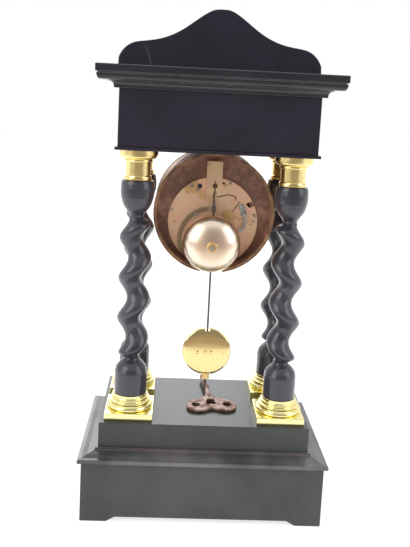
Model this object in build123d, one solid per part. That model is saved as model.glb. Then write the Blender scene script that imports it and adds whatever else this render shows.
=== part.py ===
from build123d import *
import math
import os

# Portico clock: an ebonised case on four twisted columns, with a striking drum movement.
# Millimetres, +Z up, origin at the middle of the underside, the dial faces -Y.

# Fits
running_gap = 0.05        # radial play of a pivot in its hole
slide_gap = 0.1           # radial play of a piece that slides
bolt_gap = 0.2            # radial play of a bolt in its hole
edge_round = 0.5          # softened edges of the boards

# Base box
base_w = 237.0
base_d = 148.0
base_h = 60.5
board_t = 10.0
arch_half_w = 93.5
arch_h = 5.0
arch_end_run = 9.0
nail_head_r = 1.3
nail_shank_r = 0.7
nail_len = 16.0
nail_head_t = 0.7
nail_spots = [(115.0, 29.0), (-112.9, 37.0)]

# Base moulding and plinth
moulding_w = 244.0
moulding_d = 155.0
moulding_top = 70.5
moulding_edge_h = 4.0
moulding_step = 15.5
plinth_w = 207.5
plinth_d = 122.0
plinth_top = 95.5

# Columns
column_x = 75.5
column_y = 32.0
foot_block_w = 47.5
foot_block_h = 7.5
shaft_bottom = 117.5
shaft_top = 332.0
twist_bottom = 153.5
twist_top = 296.5
twist_pitch = 40.5
twist_circle_r = 11.5
twist_offset = 4.5
twist_neck_bottom_r = 7.3
twist_neck_top_r = 7.0
twist_blend = 9.0
twist_out_z = 275.0       # height where the strand leans straight outwards in X
twist_sections = 45
capital_top = 362.0
tie_rod_r = 2.5
tie_nut_r = 5.5
tie_nut_h = 4.0
tie_rod_foot = 50.0

# Entablature
soffit_w = 195.0
soffit_d = 109.0
soffit_top = 365.0
frieze_w = 190.0
frieze_d = 104.0
frieze_top = 419.5
frieze_board_t = 9.0
hanger_w = 150.0
hanger_d = 60.0
hanger_h = 12.0
bed_top = 426.5
cornice_w = 231.0
cornice_d = 143.0
cornice_top = 440.5
cornice_fascia_bottom = 433.5
cornice_groove_h = 1.0
cornice_groove = 1.0
cornice_under = 4.0
bed_inset_bottom = 16.0
bed_inset_top = 11.7
crest_t = 22.0
crest_half = [(100.2, 440.5), (99.9, 449.5), (95.5, 457.5), (87.0, 464.0), (74.4, 466.7), (58.0, 470.0),
              (41.5, 477.3), (27.9, 486.7), (15.4, 495.6), (6.7, 499.5), (0.0, 500.0)]
dowel_r = 3.0
dowel_h = 8.0
dowel_x = 60.0

# Drum
drum_z = 302.6
rim_r = 59.4
drum_r = 58.6
drum_wall = 1.2
drum_front = -44.0
drum_back = 30.0
rim_back = 34.0
rim_in_r = 56.4
rod_slot_w = 22.0
rod_slot_front = 17.0
drum_bolt_r = 2.0
drum_bolt_y = [-20.0, 5.0]
drum_bolt_head_r = 4.0
drum_bolt_head_h = 2.5

# Movement plates
plate_z = 291.1
back_plate_r = 45.0
front_plate_r = 40.8
plate_t = 2.2
back_face = 14.0
front_face = -30.0
seat_hole_r = 41.0
seat_t = 2.2
pillar_r = 2.0
pillar_tenon_r = 1.3
pillar_spots = [(38.4, 289.2), (27.0, 318.5), (-12.0, 327.7), (-38.4, 289.2), (0.0, 252.7)]
seat_screw_angles = [15.0, 112.0, 170.0, 255.0, 290.0]
seat_screw_ring_r = 43.0
seat_screw_r = 0.65
bridge_t = 1.4
cock_t = 1.6
# Each screw: x, z, thickness under its head, head radius, shank radius
plate_screw_spots = [(-28.7, 307.2, cock_t, 2.0, 0.8), (22.5, 327.0, bridge_t, 1.8, 0.7),
                     (17.0, 323.0, bridge_t, 1.4, 0.6), (-40.8, 293.4, 0.0, 1.3, 0.6),
                     (17.0, 297.9, 0.0, 1.7, 0.7)]

# Going train: teeth and modules, from the barrel to the escape wheel
barrel_x = 19.5
barrel_z = 279.0
barrel_teeth = 84
barrel_module = 0.40
barrel_drum_r = 15.6
barrel_wall = 1.1
barrel_back = -3.0
barrel_front = -25.0
great_wheel_t = 2.4
inter_pinion = 12
inter_teeth = 60
inter_module = 0.40
centre_pinion = 10
centre_teeth = 84
centre_module = 0.29
third_pinion = 7
third_teeth = 72
third_module = 0.28
escape_pinion = 7
escape_teeth = 36
escape_r = 8.5
escape_spot = (11.0, 316.6)
wheel_t = 1.2
pivot_r = 0.6
arbor_r = 0.8
centre_arbor_r = 1.2

# Motion work behind the dial
cannon_teeth = 12
minute_teeth = 36
cannon_module = 0.50
minute_pinion = 10
hour_teeth = 40
hour_module = 0.48
minute_wheel_angle = 125.0

# Escapement and pendulum
pendulum_z = 322.5
pendulum_y = 25.0
anchor_clear = 0.6
rod_r = 1.0
thread_r = 1.2
rod_foot = 117.0
bob_z = 159.5
bob_r = 24.5
bob_half_t = 4.5
nut_r = 4.2
nut_h = 6.0
nut_bottom = 131.0

# Strike train
strike_wheel_x = -15.9
strike_inter_pinion = 12
strike_inter_teeth = 60
strike_inter_module = 0.34
pin_pinion = 8
pin_teeth = 72
pin_module = 0.27
pin_wheel_angle = 121.0
fly_pinion = 7
fly_angle = 62.0
fly_blade_r = 6.5
count_disc_r = 6.2
hammer_spot = (-31.3, 299.9)
hammer_arbor_r = 1.2
hammer_head_r = 2.5
hammer_head_out = 22.3    # from the axis of the bell
hammer_head_rise = 16.4   # degrees above the level of the bell's axis

# Bell
bell_x = 1.2
bell_z = 273.0
bell_mouth_r = 28.5
bell_mouth_y = 36.5
bell_apex_y = 54.0
bell_t = 1.6
bell_post_r = 2.0
bell_post_end = 60.0

# Front
dial_r = 55.0
dial_t = 1.2
bezel_in_r = 52.0
bezel_front = -46.5
door_front = -52.5
door_back = -46.8
door_in_r = 50.5
glass_r = 53.0
glass_t = 1.5
glass_back = -49.2
hinge_x = -61.4
hinge_y = -48.6
knuckle_r = 1.6
hinge_pin_r = 0.8

# Winding key, lying on the plinth
key_end = (-1.5, -55.85)
key_turn = 5.5
key_barrel_r = 3.15
key_ring = 0.5            # how far the turned ring stands out of the barrel
key_ring_y = 28.6
key_square = 3.8
key_neck = 47.7
key_bow_len = 38.6
key_t = 3.0
key_lift = 0.1


def block(x0, x1, y0, y1, z0, z1):
    return Pos((x0 + x1) / 2, (y0 + y1) / 2, (z0 + z1) / 2) * Box(abs(x1 - x0), abs(y1 - y0), abs(z1 - z0))


def board(x0, x1, y0, y1, z0, z1):
    shape = block(x0, x1, y0, y1, z0, z1)
    return fillet(shape.edges(), edge_round)


def tidy_points(points):
    """The same outline without repeated corners."""
    kept = [points[0]]
    for point in points[1:]:
        if math.dist(point, kept[-1]) > 0.001:
            kept.append(point)
    return kept


def turned(profile):
    """A turning about Z from (radius, height) points."""
    face = make_face(Polyline(*[(r, 0, h) for r, h in tidy_points(profile)], close=True))
    return revolve(face, axis=Axis.Z)


def turned_y(profile, x, z):
    """A turning about a line along Y from (radius, y) points."""
    return Pos(x, 0, z) * Rot(X=-90) * turned(profile)


def rod_y(x, z, r, y0, y1):
    return Pos(x, (y0 + y1) / 2, z) * Rot(X=90) * Cylinder(r, abs(y1 - y0))


def rod_z(x, y, r, z0, z1):
    return Pos(x, y, (z0 + z1) / 2) * Cylinder(r, abs(z1 - z0))


def bulge(r0, r1, z0, z1, out, steps=8):
    """Points of a rounded band between two heights, swelling by out."""
    points = []
    for i in range(steps + 1):
        a = math.pi * i / steps
        t = (1 - math.cos(a)) / 2
        points.append((r0 + (r1 - r0) * t + out * math.sin(a), z0 + (z1 - z0) * t))
    return points


def quarter(r0, z0, r1, z1, steps=6):
    """Points of a quarter round that leaves (r0, z0) upright and reaches (r1, z1) level."""
    points = []
    for i in range(steps + 1):
        a = math.pi / 2 * i / steps
        points.append((r1 + (r0 - r1) * math.cos(a), z0 + (z1 - z0) * math.sin(a)))
    return points


def moulded_board(width, depth, profile):
    """A board whose four edges carry one profile of (inset, height) points."""
    def slab(size):
        right = [(size / 2 - inset, z) for inset, z in tidy_points(profile)]
        left = [(-x, z) for x, z in reversed(right)]
        return right + left
    across = make_face(Polyline(*[(x, 0, z) for x, z in slab(width)], close=True))
    along = make_face(Polyline(*[(0, y, z) for y, z in slab(depth)], close=True))
    across = extrude(across, amount=depth, both=True, dir=(0, 1, 0))
    along = extrude(along, amount=width, both=True, dir=(1, 0, 0))
    return across & along


def plate_outline(points, y_back, thickness):
    """A flat plate from (x, z) points, its rear face at y_back."""
    face = make_face(Polyline(*[(x, y_back, z) for x, z in points], close=True))
    return extrude(face, amount=thickness, dir=(0, -1, 0))


def polar(spot, distance, angle):
    a = math.radians(angle)
    return (spot[0] + distance * math.cos(a), spot[1] + distance * math.sin(a))


def heading(a, b):
    return math.degrees(math.atan2(b[1] - a[1], b[0] - a[0]))


def meeting(a, ra, b, rb, side):
    """The spot at distance ra from a and rb from b."""
    d = math.dist(a, b)
    along = (ra * ra - rb * rb + d * d) / (2 * d)
    off = side * math.sqrt(ra * ra - along * along)
    ux = (b[0] - a[0]) / d
    uz = (b[1] - a[1]) / d
    return (a[0] + along * ux - off * uz, a[1] + along * uz + off * ux)


def centre_distance(teeth_a, teeth_b, module):
    return (teeth_a + teeth_b) * module / 2


def mesh_phase(phase_a, teeth_a, teeth_b, direction):
    """The phase of the second wheel whose gap meets the tooth of the first."""
    return direction + 180 - ((phase_a - direction) * teeth_a + 180) / teeth_b


def gear(teeth, module, thickness, phase, y_back, spot, bore=0.0, spokes=0):
    """A spur wheel about a line along Y, its rear face at y_back."""
    pitch_r = teeth * module / 2
    tip_r = pitch_r + 0.85 * module
    root_r = pitch_r - 1.15 * module
    step = 360 / teeth
    corners = [(root_r, -0.30), (tip_r, -0.11), (tip_r, 0.11), (root_r, 0.30)]
    points = []
    for i in range(teeth):
        for r, share in corners:
            a = math.radians(phase + (i + share) * step)
            points.append((r * math.cos(a), r * math.sin(a), 0))
    wheel = extrude(make_face(Polyline(*points, close=True)), amount=thickness)
    if spokes:
        rim_inner = root_r - 1.2
        hub_r = 2.6
        window = Cylinder(rim_inner, 4 * thickness) - Cylinder(hub_r, 4 * thickness)
        for i in range(spokes):
            window -= Rot(Z=i * 360 / spokes) * Pos(rim_inner / 2, 0, 0) * Box(rim_inner, 1.4, 4 * thickness)
        wheel -= window
    if bore:
        wheel -= Cylinder(bore, 4 * thickness)
    return Pos(spot[0], y_back, spot[1]) * Rot(X=90) * wheel


# Where each arbor stands, as (x, z)
centre_spot = (0.0, drum_z)
going_barrel_spot = (barrel_x, barrel_z)
strike_barrel_spot = (-barrel_x, barrel_z)
inter_spot = meeting(centre_spot, centre_distance(inter_teeth, centre_pinion, inter_module),
                     going_barrel_spot, centre_distance(barrel_teeth, inter_pinion, barrel_module), -1)
third_spot = meeting(centre_spot, centre_distance(centre_teeth, third_pinion, centre_module),
                     escape_spot, centre_distance(third_teeth, escape_pinion, third_module), -1)
anchor_spot = (0.0, pendulum_z)
strike_inter_rise = math.sqrt(centre_distance(barrel_teeth, strike_inter_pinion, barrel_module) ** 2
                              - (strike_wheel_x + barrel_x) ** 2)
strike_inter_spot = (strike_wheel_x, barrel_z + strike_inter_rise)
pin_spot = polar(strike_inter_spot, centre_distance(strike_inter_teeth, pin_pinion, strike_inter_module),
                 pin_wheel_angle)
fly_spot = polar(pin_spot, centre_distance(pin_teeth, fly_pinion, pin_module), fly_angle)
minute_spot = polar(centre_spot, centre_distance(cannon_teeth, minute_teeth, cannon_module),
                    minute_wheel_angle)

# Mesh phases, each wheel set from the one that drives it
barrel_phase = 0.0
inter_pinion_phase = mesh_phase(barrel_phase, barrel_teeth, inter_pinion, heading(going_barrel_spot, inter_spot))
inter_phase = 0.0
centre_pinion_phase = mesh_phase(inter_phase, inter_teeth, centre_pinion, heading(inter_spot, centre_spot))
centre_phase = 0.0
third_pinion_phase = mesh_phase(centre_phase, centre_teeth, third_pinion, heading(centre_spot, third_spot))
third_phase = 0.0
escape_pinion_phase = mesh_phase(third_phase, third_teeth, escape_pinion, heading(third_spot, escape_spot))
cannon_phase = 0.0
minute_phase = mesh_phase(cannon_phase, cannon_teeth, minute_teeth, heading(centre_spot, minute_spot))
minute_pinion_phase = 0.0
hour_phase = mesh_phase(minute_pinion_phase, minute_pinion, hour_teeth, heading(minute_spot, centre_spot))
strike_pinion_phase = mesh_phase(barrel_phase, barrel_teeth, strike_inter_pinion,
                                 heading(strike_barrel_spot, strike_inter_spot))
strike_inter_phase = 0.0
pin_pinion_phase = mesh_phase(strike_inter_phase, strike_inter_teeth, pin_pinion,
                              heading(strike_inter_spot, pin_spot))
pin_phase = 0.0
fly_pinion_phase = mesh_phase(pin_phase, pin_teeth, fly_pinion, heading(pin_spot, fly_spot))

plate_inner_front = front_face + plate_t
plate_inner_back = back_face - plate_t
column_spots = {"rear_right": (column_x, column_y), "rear_left": (-column_x, column_y),
                "front_right": (column_x, -column_y), "front_left": (-column_x, -column_y)}


def arched_board(y0, y1):
    """A base board cut away between its corner feet."""
    shape = board(-base_w / 2, base_w / 2, y0, y1, 0, base_h)
    arch = [(-arch_half_w, -1), (-arch_half_w, 0), (-arch_half_w + arch_end_run, arch_h),
            (arch_half_w - arch_end_run, arch_h), (arch_half_w, 0), (arch_half_w, -1)]
    return shape - plate_outline(arch, y1 + 1, y1 - y0 + 2)


def base_side_boards():
    inner = base_d / 2 - board_t
    right = board(base_w / 2 - board_t, base_w / 2, -inner, inner, 0, base_h)
    return [right, mirror(right, about=Plane.YZ)]


def base_boards():
    rear = arched_board(base_d / 2 - board_t, base_d / 2)
    front = arched_board(-base_d / 2, -base_d / 2 + board_t)
    for x, z in nail_spots:
        rear -= rod_y(x, z, nail_shank_r, base_d / 2 - nail_len - 1, base_d / 2 + 1)
        rear -= rod_y(x, z, nail_head_r, base_d / 2 - nail_head_t, base_d / 2 + 1)
    return front, rear


def wood_pins():
    """Two iron nails through the rear board, two dowels under the crest."""
    pins = []
    for x, z in nail_spots:
        profile = [(0, base_d / 2 - nail_len), (nail_shank_r, base_d / 2 - nail_len + 2),
                   (nail_shank_r, base_d / 2 - nail_head_t), (nail_head_r, base_d / 2 - nail_head_t),
                   (nail_head_r, base_d / 2 - 0.1), (0, base_d / 2 + 0.1)]
        pins.append(turned_y(profile, x, z))
    for x in (-dowel_x, dowel_x):
        pins.append(rod_z(x, 0, dowel_r, cornice_top - dowel_h, cornice_top + dowel_h))
    return pins


def base_moulding():
    edge_top = base_h + moulding_edge_h
    profile = [(0.5, base_h), (0, base_h + 0.5), (0, edge_top - 0.6)]
    profile += [(0.6, edge_top), (4.0, edge_top + 0.5), (9.0, edge_top + 2.2)]
    profile += [(moulding_step - 0.6, edge_top + 3.6), (moulding_step, edge_top + 4.2)]
    profile += [(moulding_step, moulding_top - 0.3), (moulding_step + 0.3, moulding_top)]
    shape = moulded_board(moulding_w, moulding_d, profile)
    return drill_for_rods(shape)


def drill_for_rods(shape):
    for x, y in column_spots.values():
        shape -= rod_z(x, y, tie_rod_r + bolt_gap, tie_rod_foot, soffit_top + 60)
    return shape


def column_base():
    """Square foot, then stepped rounds up to the collar round the shaft."""
    foot_top = plinth_top + foot_block_h
    foot = board(-foot_block_w / 2, foot_block_w / 2, -foot_block_w / 2, foot_block_w / 2, plinth_top, foot_top)
    profile = [(0, foot_top - 1), (20.6, foot_top - 1)]
    profile += bulge(20.6, 20.6, foot_top, 108.0, 2.2)
    profile += [(20.6, 108.0), (20.6, 108.8)]
    profile += bulge(18.2, 18.2, 108.8, 111.8, 2.4)
    profile += [(18.2, 111.8), (18.2, 112.6)]
    profile += bulge(17.2, 17.2, 112.6, 115.2, 1.4)
    profile += [(17.2, 115.2), (17.2, shaft_bottom - 0.4), (16.8, shaft_bottom), (0, shaft_bottom)]
    shape = foot + turned(profile)
    return shape - rod_z(0, 0, tie_rod_r + bolt_gap, plinth_top - 1, shaft_bottom + 1)


def column_capital():
    profile = [(0, shaft_top), (12.6, shaft_top), (13.0, shaft_top + 0.5)]
    profile += bulge(13.0, 12.8, shaft_top + 0.5, 337.0, 0.6)
    profile += [(12.2, 337.3), (12.2, 350.2), (13.0, 350.5)]
    profile += bulge(13.0, 13.0, 350.5, 353.0, 0.7)
    for i in range(8):
        a = math.pi / 2 * i / 7
        profile.append((13.2 + 4.8 * math.sin(a), 353.0 + 3.5 * (1 - math.cos(a))))
    profile += [(18.0, 356.8), (18.6, 356.9), (19.0, 357.3), (19.0, capital_top - 0.4), (18.6, capital_top)]
    profile += [(0, capital_top)]
    return turned(profile) - rod_z(0, 0, tie_rod_r + bolt_gap, shaft_top - 1, capital_top + 1)


def ease(t):
    t = min(max(t, 0.0), 1.0)
    return math.sin(math.pi / 2 * t)


def twisted_part():
    """The barley twist: a round whose middle winds about the axis, drawn in at both necks."""
    sections = []
    for i in range(twist_sections):
        z = twist_bottom + (twist_top - twist_bottom) * i / (twist_sections - 1)
        low = ease((z - twist_bottom) / twist_blend)
        high = ease((twist_top - z) / twist_blend)
        r = twist_circle_r
        r -= (twist_circle_r - twist_neck_bottom_r) * (1 - low) + (twist_circle_r - twist_neck_top_r) * (1 - high)
        off = twist_offset * min(low, high)
        a = 2 * math.pi * (z - twist_out_z) / twist_pitch
        sections.append(Pos(off * math.cos(a), off * math.sin(a), z) * Circle(r))
    return loft(sections)


def shaft_a():
    """The right-handed shaft."""
    bottle = [(0, shaft_bottom), (15.8, shaft_bottom), (16.2, shaft_bottom + 0.5), (16.2, 139.0), (16.0, 141.0)]
    bottle += [(15.0, 144.2), (13.0, 147.0), (11.0, 149.2), (9.0, 151.0), (7.8, 152.4)]
    bottle += [(twist_neck_bottom_r, twist_bottom), (0, twist_bottom)]
    vase = [(0, twist_top), (twist_neck_top_r, twist_top), (7.3, 298.3), (8.2, 300.0), (10.2, 302.6)]
    vase += [(12.5, 306.0), (14.0, 309.0), (15.0, 312.0), (16.0, 316.0), (16.4, 320.0), (16.4, 325.0)]
    vase += [(16.1, 329.0), (15.3, shaft_top), (0, shaft_top)]
    shape = turned(bottle) + twisted_part() + turned(vase)
    return shape - rod_z(0, 0, tie_rod_r + bolt_gap, shaft_bottom - 1, shaft_top + 1)


def hex_nut(r, h):
    return extrude(RegularPolygon(r, 6), amount=h)


def case_bolts():
    """Four tie rods with their nuts, and two bolts that hold the drum up."""
    pieces = []
    for x, y in column_spots.values():
        pieces.append(rod_z(x, y, tie_rod_r, tie_rod_foot, soffit_top + 9))
        for z in (base_h - 0.1 - tie_nut_h, soffit_top + 0.1):
            nut = Pos(x, y, z) * hex_nut(tie_nut_r, tie_nut_h)
            pieces.append(nut - rod_z(x, y, tie_rod_r + running_gap, z - 1, z + tie_nut_h + 1))
    for y in drum_bolt_y:
        head_top = drum_z + drum_r - drum_wall - 0.15
        bolt = rod_z(0, y, drum_bolt_head_r, head_top - drum_bolt_head_h, head_top)
        bolt += rod_z(0, y, drum_bolt_r, head_top - 0.5, soffit_top + hanger_h + 7)
        pieces.append(bolt)
        washer = rod_z(0, y, 4.5, drum_z + drum_r + 0.1, capital_top)
        pieces.append(washer - rod_z(0, y, drum_bolt_r + bolt_gap, drum_z, capital_top + 1))
        nut_z = soffit_top + hanger_h + 0.1
        nut = Pos(0, y, nut_z) * hex_nut(4.2, 3.2)
        pieces.append(nut - rod_z(0, y, drum_bolt_r + running_gap, nut_z - 1, nut_z + 5))
    return pieces


def drill_for_drum(shape):
    for y in drum_bolt_y:
        shape -= rod_z(0, y, drum_bolt_r + bolt_gap, drum_z + 20, soffit_top + hanger_h + 1)
    return shape


def soffit_board():
    shape = board(-soffit_w / 2, soffit_w / 2, -soffit_d / 2, soffit_d / 2, capital_top, soffit_top)
    return drill_for_drum(drill_for_rods(shape))


def frieze_boards():
    z0 = soffit_top
    inner = frieze_d / 2 - frieze_board_t
    rear = board(-frieze_w / 2, frieze_w / 2, inner, frieze_d / 2, z0, frieze_top)
    front = board(-frieze_w / 2, frieze_w / 2, -frieze_d / 2, -inner, z0, frieze_top)
    side = board(frieze_w / 2 - frieze_board_t, frieze_w / 2, -inner, inner, z0, frieze_top)
    return front, rear, [side, mirror(side, about=Plane.YZ)]


def hanger_board():
    half = frieze_d / 2 - frieze_board_t
    shape = board(-20, 20, -half, half, soffit_top, soffit_top + hanger_h)
    return drill_for_drum(shape)


def bed_moulding():
    """The cove between the frieze and the cornice."""
    profile = [(bed_inset_bottom, frieze_top), (bed_inset_bottom, frieze_top + 0.8)]
    for i in range(7):
        a = math.pi / 2 * i / 6
        run = bed_inset_bottom - bed_inset_top
        profile.append((bed_inset_bottom - run * (1 - math.cos(a)), frieze_top + 0.8 + 5.4 * math.sin(a)))
    profile += [(bed_inset_top, bed_top)]
    return moulded_board(cornice_w, cornice_d, profile)


def cornice_board():
    profile = []
    for i in range(7):
        a = math.pi / 2 * i / 6
        rise = cornice_fascia_bottom - cornice_groove_h - bed_top
        profile.append((cornice_under - (cornice_under - 1.0) * math.sin(a), bed_top + rise * (1 - math.cos(a))))
    profile += [(1.0, cornice_fascia_bottom - cornice_groove_h), (1.0 + cornice_groove, cornice_fascia_bottom - 0.9)]
    profile += [(1.0 + cornice_groove, cornice_fascia_bottom - 0.1), (0.3, cornice_fascia_bottom)]
    profile += [(0, cornice_fascia_bottom + 0.4), (0, cornice_top - 0.6), (0.6, cornice_top)]
    shape = moulded_board(cornice_w, cornice_d, profile)
    for x in (-dowel_x, dowel_x):
        shape -= rod_z(x, 0, dowel_r + running_gap, cornice_top - dowel_h, cornice_top + 1)
    return shape


def crest_board():
    """The shaped board along the top."""
    right = [Vector(x, 0, z) for x, z in crest_half]
    left = [Vector(-x, 0, z) for x, z in reversed(crest_half)]
    top = Spline(*(right[1:] + left[1:-1]))
    sides = Polyline(left[-2], left[-1], right[0], right[1])
    shape = extrude(make_face(Curve() + [top, sides]), amount=crest_t / 2, both=True, dir=(0, 1, 0))
    shape = fillet(shape.faces().sort_by(Axis.Y)[-1].edges() + shape.faces().sort_by(Axis.Y)[0].edges(), 0.8)
    for x in (-dowel_x, dowel_x):
        shape -= rod_z(x, 0, dowel_r + running_gap, cornice_top - 1, cornice_top + dowel_h + 0.2)
    return shape


def pendulum_slot():
    return block(-rod_slot_w / 2, rod_slot_w / 2, rod_slot_front, rim_back + 1, drum_z - rim_r - 1, drum_z - 40)


def drum_case():
    profile = [(drum_r - drum_wall, drum_front), (drum_r, drum_front), (drum_r, drum_back),
               (drum_r - drum_wall, drum_back)]
    shape = turned_y(profile, 0, drum_z) - pendulum_slot()
    for y in drum_bolt_y:
        shape -= rod_z(0, y, drum_bolt_r + bolt_gap, drum_z + 20, drum_z + rim_r + 1)
    return shape


def drum_rear_rim():
    """The stepped bead that closes the rear edge of the drum."""
    profile = [(rim_in_r, drum_back + 0.6), (drum_r - drum_wall, drum_back), (drum_r, drum_back)]
    profile += bulge(drum_r, rim_r - 0.5, drum_back, 32.4, 0.35)
    profile += [(rim_r, 32.7), (rim_r, 33.7), (rim_r - 0.3, rim_back), (58.5, rim_back), (58.2, 33.2)]
    profile += [(57.6, 33.2), (57.4, rim_back - 0.3), (rim_in_r + 0.2, rim_back - 0.3), (rim_in_r, rim_back - 0.6)]
    return turned_y(profile, 0, drum_z) - pendulum_slot()


def seat_ring():
    ring = rod_y(0, drum_z, drum_r - drum_wall, back_face - plate_t - seat_t, back_face - plate_t)
    ring -= rod_y(0, plate_z, seat_hole_r, -20, 40)
    return ring - seat_screw_holes(seat_screw_r + slide_gap)


def seat_screw_holes(r):
    holes = []
    for angle in seat_screw_angles:
        x, z = polar((0, plate_z), seat_screw_ring_r, angle)
        holes.append(rod_y(x, z, r, back_face - plate_t - seat_t - 1, back_face + 1))
    return holes


def pivot_holes(shape, spots, r, y0, y1):
    for x, z in spots:
        shape -= rod_y(x, z, r + running_gap, y0, y1)
    return shape


def plate_pair():
    """Round plates, drilled for every pivot."""
    back = rod_y(0, plate_z, back_plate_r, back_face - plate_t, back_face)
    front = rod_y(0, plate_z, front_plate_r, front_face, front_face + plate_t)
    thin = [inter_spot, third_spot, escape_spot, pin_spot, fly_spot]
    back = pivot_holes(back, thin + [centre_spot], pivot_r, 0, 20)
    back = pivot_holes(back, [strike_inter_spot], 1.0, 0, 20)
    back = pivot_holes(back, [going_barrel_spot, strike_barrel_spot], 1.5, 0, 20)
    back -= rod_y(anchor_spot[0], anchor_spot[1], 2.2, 0, 20)
    back -= rod_y(hammer_spot[0], hammer_spot[1], hammer_arbor_r + running_gap, 0, 20)
    front = pivot_holes(front, thin + [strike_inter_spot, anchor_spot], pivot_r, -40, -20)
    front = pivot_holes(front, [centre_spot], centre_arbor_r, -40, -20)
    front = pivot_holes(front, [going_barrel_spot, strike_barrel_spot], 2.2, -40, -20)
    front -= rod_y(hammer_spot[0], hammer_spot[1], 0.7 + running_gap, -40, -20)
    for spot in pillar_spots:
        back -= rod_y(spot[0], spot[1], pillar_tenon_r + running_gap, 0, 20)
        front -= rod_y(spot[0], spot[1], pillar_tenon_r + running_gap, -40, -20)
    back -= seat_screw_holes(seat_screw_r + slide_gap)
    for x, z, under, head_r, shank_r in plate_screw_spots:
        back -= rod_y(x, z, shank_r + running_gap, 0, 20)
    notch = [(-32.4, 310.7), (-38.4, 313.6), (-41.4, 308.9), (-36.4, 306.9)]
    back -= plate_outline(notch, back_face + 1, plate_t + 2)
    for x, z, r in [(14.5, 326.8, 1.6), (-9.3, 330.5, 1.2), (-41.0, 300.1, 1.1)]:
        back -= rod_y(x, z, r, 0, 20)
    return front, back


def plate_pillars():
    pillars = []
    for x, z in pillar_spots:
        profile = [(0, front_face + 0.1), (pillar_tenon_r, front_face + 0.1), (pillar_tenon_r, plate_inner_front)]
        profile += [(pillar_r, plate_inner_front), (pillar_r, plate_inner_back)]
        profile += [(pillar_tenon_r, plate_inner_back), (pillar_tenon_r, back_face + 1.6), (0, back_face + 1.9)]
        pillars.append(turned_y(profile, x, z))
    return pillars


def slotted_screw(x, z, y_seat, head_r, shank_r, shank):
    """A cheese-headed screw whose head sits on y_seat."""
    head_h = 1.1
    head = turned_y([(0, y_seat), (head_r, y_seat), (head_r, y_seat + head_h - 0.3),
                     (head_r - 0.4, y_seat + head_h), (0, y_seat + head_h)], x, z)
    head += rod_y(x, z, shank_r, y_seat - shank, y_seat + 0.2)
    slot = Pos(x, y_seat + head_h, z) * Rot(Y=35) * Box(2 * head_r + 1, 0.7, 0.5)
    return head - slot


def plate_screws():
    """Screws of the seat, the escape bridge and the cocks."""
    screws = []
    for angle in seat_screw_angles:
        x, z = polar((0, plate_z), seat_screw_ring_r, angle)
        screws.append(slotted_screw(x, z, back_face, 1.5, seat_screw_r, plate_t + seat_t - 0.3))
    for x, z, under, head_r, shank_r in plate_screw_spots:
        screws.append(slotted_screw(x, z, back_face + under, head_r, shank_r, under + plate_t - 0.3))
    return screws


def escape_bridge():
    """The small brass bridge that carries the rear pivot of the escape wheel."""
    outline = [(7.0, 319.5), (8.0, 313.6), (13.5, 313.2), (16.5, 319.2), (29.0, 320.6), (29.4, 324.0),
               (24.0, 329.6), (19.4, 332.2), (16.8, 329.0), (17.0, 325.0), (10.0, 321.2)]
    shape = plate_outline(outline, back_face + bridge_t, bridge_t)
    shape = pivot_holes(shape, [escape_spot], pivot_r, 0, 20)
    shape -= rod_y(pillar_spots[1][0], pillar_spots[1][1], pillar_r + 0.4, 0, 20)
    for x, z, under, head_r, shank_r in plate_screw_spots:
        shape -= rod_y(x, z, shank_r + running_gap, 0, 20)
    return shape


def hammer_cock():
    """The kite-shaped steel cock over the hammer arbor."""
    outline = [(-28.5, 312.0), (-25.6, 307.6), (-28.0, 299.0), (-31.3, 295.4), (-34.2, 299.0), (-32.6, 306.6)]
    shape = plate_outline(outline, back_face + cock_t, cock_t)
    shape -= rod_y(hammer_spot[0], hammer_spot[1], hammer_arbor_r + running_gap, 0, 20)
    x, z, under, head_r, shank_r = plate_screw_spots[0]
    return shape - rod_y(x, z, shank_r + running_gap, 0, 20)


def suspension_cock():
    """The brass block that carries the pendulum, slotted for its spring and hollowed for the crutch."""
    shape = block(-6.7, 8.6, back_face, 28.5, 320.5, 353.4)
    shape = fillet(shape.edges().filter_by(Axis.Y), 1.2)
    shape -= block(-3.4, 3.4, back_face - 1, 19.6, 315.0, 327.5)
    shape -= block(-0.65, 0.65, 21.6, 30.0, 315.0, 334.0)
    shape -= block(-2.4, 2.4, 21.6, 30.0, 327.2, 331.4)
    shape -= block(-1.7, 1.7, 21.4, 30.0, 315.0, 323.2)
    return shape - rod_y(anchor_spot[0], anchor_spot[1], pivot_r + running_gap, 15, 21.4)


def bell_stand():
    """A bent steel arm from the back plate to the post in the bell."""
    foot = (16.0, 260.0)
    arm = rod_y(foot[0], foot[1], 4.2, back_face, back_face + 2.0)
    arm += rod_y(foot[0], foot[1], 2.2, back_face, 33.0)
    length = math.dist(foot, (bell_x, bell_z))
    turn = heading(foot, (bell_x, bell_z))
    bar = Pos(foot[0], 31.5, foot[1]) * Rot(Y=-turn) * Pos(length / 2, 0, 0) * Box(length, 3.0, 4.0)
    arm += bar + rod_y(bell_x, bell_z, 3.6, 30.0, 50.6)
    return arm + rod_y(bell_x, bell_z, bell_post_r, 40.0, bell_post_end)


def bell():
    depth = bell_apex_y - bell_mouth_y
    outer = []
    inner = []
    steps = 14
    for i in range(steps + 1):
        a = math.pi / 2 * i / steps
        outer.append((bell_mouth_r * math.cos(a), bell_mouth_y + depth * math.sin(a)))
        inner.append(((bell_mouth_r - bell_t) * math.cos(a), bell_mouth_y + (depth - bell_t) * math.sin(a)))
    profile = inner + list(reversed(outer))
    return turned_y(profile, bell_x, bell_z) - rod_y(bell_x, bell_z, bell_post_r + bolt_gap, 40, 60)


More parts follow.
